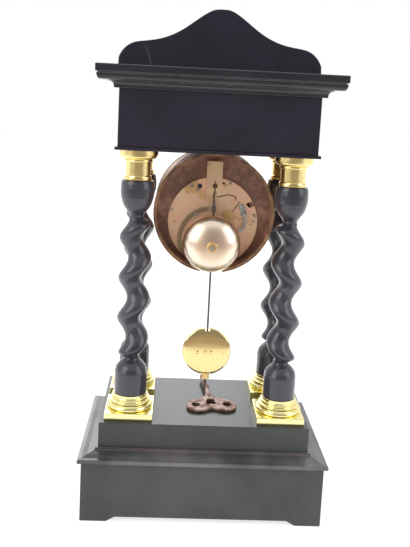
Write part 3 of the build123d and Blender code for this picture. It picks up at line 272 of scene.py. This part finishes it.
case_dark = black_polish("black_polish_upper", (0.009, 0.0075, 0.018), (0.020, 0.016, 0.036),
                         (0.16, 0.055, 0.030), 0.26, (1.0, 9.0, 9.0), 0.55, 0.12)
crest_black = black_polish("black_polish_crest", (0.005, 0.006, 0.016), (0.013, 0.014, 0.032),
                           (0.16, 0.055, 0.030), 0.28, (1.0, 9.0, 9.0), 0.6, 0.12, scratched=True)
cornice_black = black_polish("black_polish_cornice", (0.010, 0.010, 0.016), (0.026, 0.025, 0.034),
                             (0.34, 0.30, 0.29), 0.20, (1.0, 9.0, 9.0), 1.1, 0.15)
# The lower boards get a lighter, greyer copy of the same polish: painted reflection of the white table.
case_grey_painted_reflection = black_polish("black_polish_lower", (0.030, 0.034, 0.033), (0.062, 0.066, 0.063),
                         (0.20, 0.070, 0.040), 0.30, (1.0, 9.0, 9.0), 0.75, 0.25, coat=0.22)
# The moulding's pale, cloudy tone is a painted highlight for the streaks of light along its slope; its
# reddish edge chips are real wear.
case_edge = black_polish("black_polish_moulding", (0.040, 0.041, 0.044), (0.190, 0.180, 0.180),
                         (0.32, 0.095, 0.055), 0.17, (1.0, 9.0, 9.0), 1.5, 0.4, coat=0.4)
# The shafts get a lighter copy of the same polish: painted reflection of the bright room.
shaft_black = black_polish("black_polish_shafts", (0.027, 0.026, 0.037), (0.054, 0.052, 0.070),
                           (0.14, 0.060, 0.040), 0.22, (9.0, 9.0, 1.0), 0.3, 0.15)
dress(case_dark, "frieze_front_board", "frieze_rear_board", "frieze_side_boards", "soffit_board",
      "drum_hanger_board")
dress(crest_black, "crest_board")
dress(cornice_black, "cornice_board", "bed_moulding")
dress(case_grey_painted_reflection, "base_front_board", "base_rear_board", "base_side_boards", "plinth_board")
dress(case_edge, "base_moulding")
dress(shaft_black, "column_shaft_rear_right", "column_shaft_rear_left",
      "column_shaft_front_right", "column_shaft_front_left")


# The column bases, the capitals, the bezel and the bob are brass, turned or stamped, then
# gilt and burnished. The gilding is warm and bright, with brown where it has thinned.
def gilding(name, bright, thin, rough, rings, stain):
    finish = Finish(name)
    stains = finish.noise(55.0, 6.0, roughness=0.65)
    pits = finish.noise(700.0, 3.0)
    clouds = finish.noise(20.0, 2.0)
    turning = finish.noise(rings, 1.0, (0.02, 0.02, 1.0))
    tone = finish.mix(clouds, bright, tuple(c * 0.90 for c in bright))
    tone = finish.mix(stains.step(0.58, 0.75) * stain, tone, thin)
    gloss = rough + stains.step(0.5, 0.8) * 0.16 + pits * 0.06
    return finish.surface(Base_Color=tone, Metallic=1.0, Roughness=gloss,
                          Normal=finish.bump(pits * 0.3 + turning + stains * 0.3, 0.10, 0.0003))


gilt = gilding("gilding_capitals", (1.00, 0.83, 0.38), (0.55, 0.32, 0.12), 0.17, 900.0, 0.4)
# The feet get a brighter, yellower copy of the same gilding: painted highlight.
gilt_feet = gilding("gilding_feet", (1.00, 0.90, 0.45), (0.62, 0.38, 0.13), 0.14, 900.0, 0.3)
dress(gilt, "column_capitals")
dress(gilt_feet, "column_bases")


# Bolts, rods, nuts, arbors and screws are steel, bright where handled and brown elsewhere.
def steel(name, bright, dull, rough, spots):
    finish = Finish(name)
    bloom = finish.noise(90.0, 6.0, roughness=0.7)
    scratch = finish.noise(500.0, 3.0, (1.0, 1.0, 8.0))
    tone = finish.mix(bloom.step(0.45, 0.7) * spots, bright, dull)
    return finish.surface(Base_Color=tone, Metallic=1.0, Roughness=rough + bloom * 0.25 + scratch * 0.08,
                          Normal=finish.bump(scratch + bloom, 0.12, 0.0002))


plain_steel = steel("steel_plain", (0.55, 0.54, 0.52), (0.18, 0.13, 0.10), 0.28, 0.7)
dark_steel = steel("steel_dark", (0.16, 0.14, 0.13), (0.07, 0.05, 0.045), 0.34, 0.7)
iron_nails = steel("steel_nails", (0.20, 0.15, 0.12), (0.12, 0.05, 0.03), 0.50, 0.9)
dress(plain_steel, "case_bolts", "hammer", "hammer_cock", "bell_stand",
      "going_winding_arbor", "strike_winding_arbor", "fly", "plate_screws")
dress(dark_steel, "pendulum_rod", "suspension_spring", "anchor_crutch")
dress(iron_nails, "wood_pins")


# The drum is sheet brass, left to go brown. Its rear edge carries a turned rim, and the
# ring that the movement sits on is browner still.
def brown_brass(name, bare, brown, cover, rough):
    finish = Finish(name)
    patina = finish.noise(45.0, 7.0, roughness=0.6)
    spots = finish.noise(260.0, 4.0)
    streaks = finish.noise(160.0, 3.0, (1.0, 0.08, 1.0))
    share = patina * 0.7 + streaks * 0.3
    tone = finish.mix(share.step(0.62 - cover * 0.35, 0.82 - cover * 0.3), bare, brown)
    tone = finish.mix(spots.step(0.66, 0.74) * 0.5, tone, tuple(c * 0.4 for c in brown))
    return finish.surface(Base_Color=tone, Metallic=0.85, Roughness=rough + patina * 0.25,
                          Normal=finish.bump(patina + streaks + spots * 0.5, 0.15, 0.0003))


drum_brown = brown_brass("drum_brass", (0.80, 0.50, 0.31), (0.42, 0.26, 0.19), 0.8, 0.34)
rim_brass = brown_brass("rim_brass", (0.60, 0.38, 0.21), (0.25, 0.15, 0.10), 0.65, 0.28)
seat_brown = brown_brass("seat_brass", (0.50, 0.31, 0.23), (0.26, 0.155, 0.12), 0.9, 0.42)
dress(drum_brown, "drum_case")
dress(rim_brass, "drum_rear_rim")
dress(seat_brown, "movement_seat_ring")


# The movement's plates, wheels and cocks are yellow brass, brushed in one direction and
# lacquered. Age has turned the rear plate pink and brown, with spots of old oil. A dark
# ring round the bell, on its +X side, is a painted shadow of the bell.
def plate_brass(name, clean, pink, oil, rough, age, bell_shadowed=False):
    finish = Finish(name)
    brushing = finish.noise(900.0, 2.0, (1.0, 1.0, 0.06))
    clouds = finish.noise(38.0, 5.0, roughness=0.6)
    drops = finish.noise(75.0, 6.0, roughness=0.7)
    tone = finish.mix(clouds.step(0.35, 0.65), clean, pink)
    tone = finish.mix(drops.step(0.60, 0.72) * age, tone, oil)
    if bell_shadowed:
        # Painted shadow of the bell: a dark greenish ring on the rear plate round the bell axis, on the +X
        # side only.
        bell_shadow_x = 0.0012
        bell_shadow_z = 0.273
        here = finish.node("ShaderNodeSeparateXYZ", {}, {"Vector": finish.place()})
        across = Socket(finish, here.socket.node.outputs["X"]) - bell_shadow_x
        up = Socket(finish, here.socket.node.outputs["Z"]) - bell_shadow_z
        out = (across * across + up * up) ** 0.5
        bell_shadow_band = out.step(0.0280, 0.0300) * (1.0 - out.step(0.0325, 0.0350)) * across.step(-0.002, 0.008)
        tone = finish.mix(bell_shadow_band * (0.45 + clouds * 0.5), tone, (0.20, 0.18, 0.10))
    return finish.surface(Base_Color=tone, Metallic=0.80, Roughness=rough + brushing * 0.08 + drops * 0.15,
                          Normal=finish.bump(brushing + drops * 0.4, 0.10, 0.0002))


rear_plate = plate_brass("rear_plate_brass", (1.00, 0.73, 0.48), (0.96, 0.62, 0.42), (0.40, 0.21, 0.12),
                         0.34, 0.60, bell_shadowed=True)
wheel_brass = plate_brass("wheel_brass", (0.88, 0.64, 0.30), (0.80, 0.54, 0.26), (0.40, 0.24, 0.10),
                          0.24, 0.35)
cock_brass = plate_brass("cock_brass", (0.80, 0.58, 0.34), (0.70, 0.48, 0.30), (0.36, 0.22, 0.13),
                         0.32, 0.6)
dress(rear_plate, "back_plate")
dress(wheel_brass, "front_plate", "plate_pillars", "going_barrel", "strike_barrel", "intermediate_wheel",
      "centre_wheel", "third_wheel", "escape_wheel", "minute_wheel", "hour_wheel", "strike_intermediate",
      "pin_wheel", "rating_nut", "escape_bridge", "bell_nut")
dress(cock_brass, "suspension_cock")


# Thin levers and springs of the strike lie on the rear plate. They are bent from steel and
# brass wire and go under the count disc. A blued stud covers the hole by the escape bridge.
plate_face = 0.014
wire_r = 0.00042
on_plate = plate_face + wire_r * 0.9
blued = steel("blued_stud_steel", (0.11, 0.09, 0.16), (0.05, 0.04, 0.08), 0.25, 0.6)
add_wire("strike_detent_lever", [(-0.0030, on_plate, 0.3166), (-0.0085, on_plate, 0.3174),
                                 (-0.0135, on_plate, 0.3195), (-0.0208, on_plate, 0.3180),
                                 (-0.0235, on_plate, 0.3155), (-0.0212, on_plate, 0.3138)],
         wire_r, dark_steel, "case")
add_wire("count_lever", [(-0.0200, on_plate, 0.3022), (-0.0232, on_plate, 0.3078),
                         (-0.0261, on_plate, 0.3131)], wire_r, dark_steel, "case")
add_wire("hammer_return_spring", [(-0.0210, on_plate, 0.2966), (-0.0270, on_plate, 0.2954),
                                  (-0.0333, on_plate, 0.2939), (-0.0360, on_plate, 0.2926)],
         wire_r, wheel_brass, "case")
stud_r = 0.0024
stud_h = 0.0009
add_turning("blued_stud", [(stud_r, plate_face), (stud_r, plate_face + stud_h * 0.7),
                           (stud_r * 0.9, plate_face + stud_h), (0.0, plate_face + stud_h * 1.1)],
            [(0.0145, 0.3268)], blued, "case", sides=32)


# The bell is cast bell metal, turned and silvered. Its warm tone, darker and browner towards the crown, is a
# painted reflection of the dim, warm room.
def silvered():
    bell_axis_x = 0.0012
    bell_axis_z = 0.273
    crown = 0.021
    turning_marks = 9000.0
    finish = Finish("bell_silvering")
    here = finish.node("ShaderNodeSeparateXYZ", {}, {"Vector": finish.place()}, 0)
    across = Socket(finish, here.socket.node.outputs["X"]) - bell_axis_x
    up = Socket(finish, here.socket.node.outputs["Z"]) - bell_axis_z
    out = (across * across + up * up) ** 0.5
    clouds = finish.noise(60.0, 6.0, roughness=0.65)
    turning = finish.node("ShaderNodeMath", {"operation": "SINE"}, {0: out * turning_marks})
    # Painted reflection: darker and browner towards the crown, for the dim, warm room that the bell reflects.
    wear_and_crown_reflection = (1.0 - (out / crown)).step(0.0, 0.5) * (0.45 + clouds * 0.6)
    tone = finish.mix(wear_and_crown_reflection, (1.00, 0.84, 0.66), (0.74, 0.54, 0.38))
    tone = finish.mix(clouds.step(0.62, 0.75) * 0.4, tone, (0.46, 0.34, 0.26))
    return finish.surface(Base_Color=tone, Metallic=1.0, Roughness=0.24 + wear_and_crown_reflection * 0.14 + clouds * 0.08,
                          Normal=finish.bump(turning * 0.3 + clouds, 0.06, 0.0003))


dress(silvered(), "bell")


# The bob is a brass lens, spun, gilt and burnished. Three low studs stand in a row on its
# rear face, where the two halves of the lens are riveted.
bob_gilt = gilding("gilding_bob", (0.97, 0.76, 0.36), (0.62, 0.36, 0.14), 0.10, 300.0, 0.35)
dress(bob_gilt, "pendulum_bob")
bob_low, bob_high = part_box("pendulum_bob")
bob_x = (bob_low[0] + bob_high[0]) / 2
bob_z = (bob_low[2] + bob_high[2]) / 2
bob_r = (bob_high[0] - bob_low[0]) / 2
bob_mid = (bob_low[1] + bob_high[1]) / 2
bob_swell = bob_high[1] - bob_mid
bob_rim = 0.24
stud_profile = [(0.0021, -0.0004), (0.0020, 0.0001), (0.0016, 0.0005), (0.0009, 0.0007), (0.0, 0.0008)]
for number, (out_x, out_z) in enumerate([(0.0093, -0.0002), (0.0013, 0.0008), (-0.0041, 0.0008)], 1):
    share = math.hypot(out_x, out_z) / bob_r
    skin = bob_mid + bob_swell * (bob_rim + (1 - bob_rim) * math.sqrt(1 - share * share))
    add_turning("bob_stud_" + str(number), [(r, skin + rise) for r, rise in stud_profile],
                [(bob_x + out_x, bob_z + out_z)], bob_gilt, "bob", sides=24)


# The bezel is cast and turned brass, gilt like the column mounts. Its door holds a disc
# of clear glass with a slight ripple.
dress(gilt, "bezel_frame", "bezel_door")
glass = Finish("bezel_glass")
ripple = glass.noise(18.0, 2.0)
dress(glass.surface(Base_Color=(0.96, 0.98, 0.98), Transmission_Weight=1.0, Roughness=0.02 + ripple * 0.02,
                    IOR=1.46, Normal=glass.bump(ripple, 0.03, 0.0004)), "bezel_glass")


# The dial is a white enamelled disc. Its hour numerals, its ring of minute strokes and
# the two thin circles round them are black enamel.
enamel = Finish("dial_enamel")
crazing = enamel.noise(30.0, 3.0)
dress(enamel.surface(Base_Color=enamel.mix(crazing, (0.86, 0.85, 0.80), (0.80, 0.78, 0.71)), Roughness=0.16,
                     Coat_Weight=0.4, Normal=enamel.bump(crazing, 0.05, 0.0003)), "dial")
ink = Finish("dial_black")
ink_grain = ink.noise(400.0, 3.0)
dial_black = ink.surface(Base_Color=ink.mix(ink_grain, (0.012, 0.012, 0.014), (0.030, 0.028, 0.030)),
                         Roughness=0.22 + ink_grain * 0.1, Normal=ink.bump(ink_grain, 0.05, 0.0002))
dial_low, dial_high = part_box("dial")
dial_z = (dial_low[2] + dial_high[2]) / 2
dial_face = dial_low[1]
ink_h = 0.00006
track_out = 0.0483
track_in = 0.0464
track_line = 0.00022
numeral_r = 0.0400
numeral_h = 0.0092
thick = 0.00125
thin = 0.00045
letter_w = {"I": 0.0021, "V": 0.0049, "X": 0.0052}
letter_strokes = {"I": [((0.5, 0.0), (0.5, 1.0), thick)],
                  "V": [((0.12, 1.0), (0.5, 0.0), thick), ((0.88, 1.0), (0.5, 0.0), thin)],
                  "X": [((0.12, 1.0), (0.88, 0.0), thick), ((0.88, 1.0), (0.12, 0.0), thin)]}


def stroke(points, faces, hour_angle, start, end, width):
    """One pen stroke, from (across, radius) points, turned to its hour on the dial."""
    long_x = end[0] - start[0]
    long_y = end[1] - start[1]
    length = math.hypot(long_x, long_y)
    off_x = -long_y / length * width / 2
    off_y = long_x / length * width / 2
    corners = [(start[0] + off_x, start[1] + off_y), (start[0] - off_x, start[1] - off_y),
               (end[0] - off_x, end[1] - off_y), (end[0] + off_x, end[1] + off_y)]
    first = len(points)
    for y in (dial_face + ink_h / 2, dial_face - ink_h):
        for across, radius in corners:
            points.append((radius * math.sin(hour_angle) + across * math.cos(hour_angle), y,
                           dial_z + radius * math.cos(hour_angle) - across * math.sin(hour_angle)))
    faces.append(tuple(first + 4 + i for i in range(4)))
    for i in range(4):
        faces.append((first + i, first + (i + 1) % 4, first + 4 + (i + 1) % 4, first + 4 + i))


ink_points = []
ink_faces = []
for hour, word in enumerate(["I", "II", "III", "IIII", "V", "VI", "VII", "VIII", "IX", "X", "XI", "XII"], 1):
    turn = 2 * math.pi * hour / 12
    pen = -sum(letter_w[letter] for letter in word) / 2
    foot = numeral_r - numeral_h / 2
    for letter in word:
        wide = letter_w[letter]
        for start, end, width in letter_strokes[letter]:
            stroke(ink_points, ink_faces, turn, (pen + start[0] * wide, foot + start[1] * numeral_h),
                   (pen + end[0] * wide, foot + end[1] * numeral_h), width)
        for level in (foot, foot + numeral_h):
            stroke(ink_points, ink_faces, turn, (pen, level), (pen + wide, level), thin * 0.8)
        pen += wide
for minute in range(60):
    tick = thin * 2 if minute % 5 == 0 else thin
    stroke(ink_points, ink_faces, 2 * math.pi * minute / 60, (0.0, track_in), (0.0, track_out), tick)
add_mesh("dial_numerals", ink_points, ink_faces, dial_black, "case")
for place, radius in (("outer", track_out), ("inner", track_in)):
    ring = [(radius + track_line, dial_face + ink_h / 2), (radius + track_line, dial_face - ink_h),
            (radius - track_line, dial_face - ink_h), (radius - track_line, dial_face + ink_h / 2)]
    add_turning("minute_track_" + place, ring, [(0.0, dial_z)], dial_black, "case", sides=180)

# Each winding hole in the dial is bushed with a turned brass ring, with a rounded lip
# that stands a little proud of the enamel.
hole_r = 0.0036
bush_spots = [((low[0] + high[0]) / 2, (low[2] + high[2]) / 2) for low, high in
              (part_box("going_winding_arbor"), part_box("strike_winding_arbor"))]
bush_profile = [(hole_r - 0.0001, dial_face + 0.0008), (hole_r - 0.0001, dial_face - 0.0004),
                (hole_r + 0.0003, dial_face - 0.0006), (hole_r + 0.0008, dial_face - 0.0004),
                (hole_r + 0.0009, dial_face)]
add_turning("winding_hole_bushes", bush_profile, bush_spots, gilt, "case")


# The hour hand and the minute hand are steel, polished and blued over heat, so that the
# blue is a little uneven.
blue = Finish("blued_steel")
heat = blue.noise(120.0, 3.0)
blue_tone = blue.mix(heat, (0.02, 0.03, 0.12), (0.04, 0.05, 0.20))
dress(blue.surface(Base_Color=blue_tone, Metallic=1.0, Roughness=0.2 + heat * 0.1,
                   Normal=blue.bump(heat, 0.05, 0.0002)), "hour_hand", "minute_hand")


# The winding key is cast steel, brown with rust in patches, with bare metal showing
# between them.
rust = Finish("key_rust")
rust_patch = rust.noise(120.0, 7.0, roughness=0.7)
rust_fine = rust.noise(700.0, 4.0)
rust_tone = rust.mix(rust_patch.step(0.40, 0.62), (0.42, 0.30, 0.26), (0.17, 0.085, 0.055))
dress(rust.surface(Base_Color=rust_tone, Metallic=0.7, Roughness=0.36 + rust_patch * 0.3,
                   Normal=rust.bump(rust_patch + rust_fine * 0.5, 0.35, 0.0004)), "winding_key")


# The clock stands on a white table in front of a white wall, lit by soft windows. The floor
# and the sky are white to the camera and in reflections, and keep the clock's shadow.
floor_size = 6.0
floor_glow = 0.72
dim_from = 0.42
dim_to = 0.75
floor_mesh = bpy.data.meshes.new("floor")
floor_mesh.from_pydata([(-floor_size, -floor_size, 0.0), (floor_size, -floor_size, 0.0),
                        (floor_size, floor_size, 0.0), (-floor_size, floor_size, 0.0)], [], [(0, 1, 2, 3)])
floor = bpy.data.objects.new("floor", floor_mesh)
scene.collection.objects.link(floor)
table = Finish("white_table")
table_rays = table.node("ShaderNodeLightPath", {}, {}, "Is Camera Ray")
table_place = table.node("ShaderNodeSeparateXYZ", {}, {"Vector": table.place()})
far = Socket(table, table_place.socket.node.outputs["Y"]).step(dim_from, dim_to) * (1.0 - table_rays)
table_white = table.mix(far, (1.0, 1.0, 1.0), (0.30, 0.23, 0.19))
table.surface(Base_Color=table.mix(far, (0.50, 0.50, 0.50), (0.20, 0.17, 0.15)), Roughness=0.6,
              Emission_Color=table_white)
table.shader.inputs["Emission Strength"].default_value = floor_glow
floor.data.materials.append(table.material)

world = bpy.data.worlds.new("room")
scene.world = world
world.use_nodes = True
room = Finish("room", world.node_tree)
sky = world.node_tree.nodes["Background"]
rays = room.node("ShaderNodeLightPath", {}, {}, "Is Camera Ray")
facing = room.node("ShaderNodeTexCoord", {}, {}, "Generated")
facing = room.node("ShaderNodeSeparateXYZ", {}, {"Vector": facing}, 0)
toward_y = Socket(room, facing.socket.node.outputs["Y"])
toward_z = Socket(room, facing.socket.node.outputs["Z"])
dim_side = toward_y.step(0.2, 0.8) * (1.0 - toward_z.step(0.5, 0.95))
room_light = room.mix(dim_side, (0.92, 0.94, 0.97), (0.30, 0.29, 0.30))
room.join(sky.inputs["Color"], room.mix(rays, room_light, (1.0, 1.0, 1.0)))
sky.inputs["Strength"].default_value = 1.0


# Three soft lamps stand for windows: one to each side behind the clock, and one before
# its dial.
def window(name, at, aim, width, height, power, colour):
    lamp = bpy.data.lights.new(name, "AREA")
    lamp.shape = "RECTANGLE"
    lamp.size = width
    lamp.size_y = height
    lamp.energy = power
    lamp.color = colour
    light = bpy.data.objects.new(name, lamp)
    scene.collection.objects.link(light)
    light.location = at
    light.rotation_euler = (Vector(aim) - Vector(at)).to_track_quat("-Z", "Y").to_euler()


window("window_left", (1.1, 0.9, 0.9), (0.0, 0.0, 0.25), 0.9, 1.2, 9.0, (1.0, 0.98, 0.95))
window("window_right", (-1.2, 0.7, 0.8), (0.0, 0.0, 0.25), 0.8, 1.1, 5.0, (0.96, 0.98, 1.0))
window("window_front", (0.3, -1.4, 1.1), (0.0, 0.0, 0.3), 1.2, 1.0, 9.0, (1.0, 1.0, 1.0))
